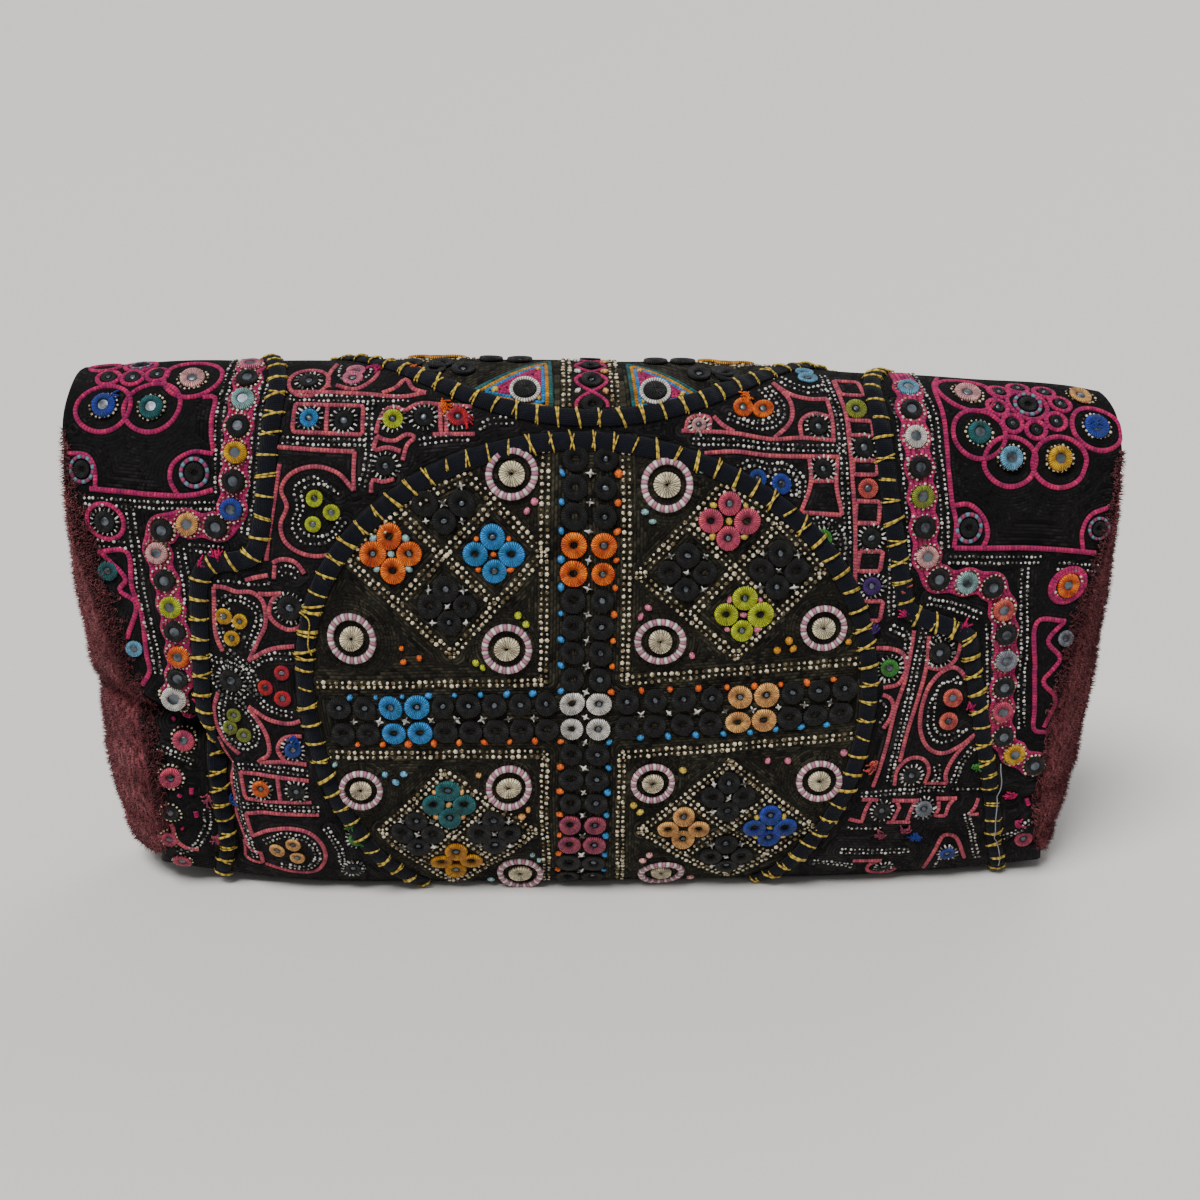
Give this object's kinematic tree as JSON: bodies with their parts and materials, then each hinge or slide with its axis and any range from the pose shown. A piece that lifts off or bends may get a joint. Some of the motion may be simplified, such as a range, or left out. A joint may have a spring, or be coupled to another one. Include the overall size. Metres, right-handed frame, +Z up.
{
  "type": "embroidered flap clutch bag",
  "caption": "Soft fabric pochette with swelling side gussets and a full front flap pieced from mirror-embroidered patches, standing closed on its flat base.",
  "frame": {"origin": "middle of the flat base, on the surface the bag stands on", "axes": "+X along the bag's width, to the viewer's right; +Y from the front flap to the back; +Z up"},
  "size_m": [0.326, 0.0734, 0.1717],
  "materials": {
    "backing": "matte plain cotton",
    "pile": "short matte pile",
    "field": "close chain stitch",
    "yoke": "close chain stitch",
    "medallion": "close chain stitch",
    "tape": "matte folded cotton",
    "mirror": "old silvered glass"
  },
  "bodies": {
    "root": {"outer_panel": "backing", "pocket": "backing", "gusset_left": "pile", "gusset_right": "pile", "field_left": "field", "field_right": "field", "yoke_left": "yoke", "yoke_right": "yoke", "medallion_front": "medallion", "medallion_top": "medallion", "tape_medallion_front": "tape", "tape_medallion_top": "tape", "tape_yoke_left": "tape", "tape_yoke_right": "tape", "mirror_left_01": "mirror", "mirror_left_02": "mirror", "mirror_left_03": "mirror", "mirror_left_04": "mirror", "mirror_left_05": "mirror", "mirror_left_06": "mirror", "mirror_left_07": "mirror", "mirror_left_08": "mirror", "mirror_left_09": "mirror", "mirror_left_10": "mirror", "mirror_left_11": "mirror", "mirror_left_12": "mirror", "mirror_left_13": "mirror", "mirror_left_14": "mirror", "mirror_left_15": "mirror", "mirror_left_16": "mirror", "mirror_left_17": "mirror", "mirror_left_18": "mirror", "mirror_left_19": "mirror", "mirror_right_01": "mirror", "mirror_right_02": "mirror", "mirror_right_03": "mirror", "mirror_right_04": "mirror", "mirror_right_05": "mirror", "mirror_right_06": "mirror", "mirror_right_07": "mirror", "mirror_right_08": "mirror", "mirror_right_09": "mirror", "mirror_right_10": "mirror", "mirror_right_11": "mirror", "mirror_right_12": "mirror", "mirror_right_13": "mirror", "mirror_right_14": "mirror", "mirror_right_15": "mirror", "mirror_right_16": "mirror", "mirror_right_17": "mirror", "mirror_right_18": "mirror", "mirror_right_19": "mirror", "mirror_right_20": "mirror", "mirror_right_21": "mirror"}
  },
  "joints": []
}
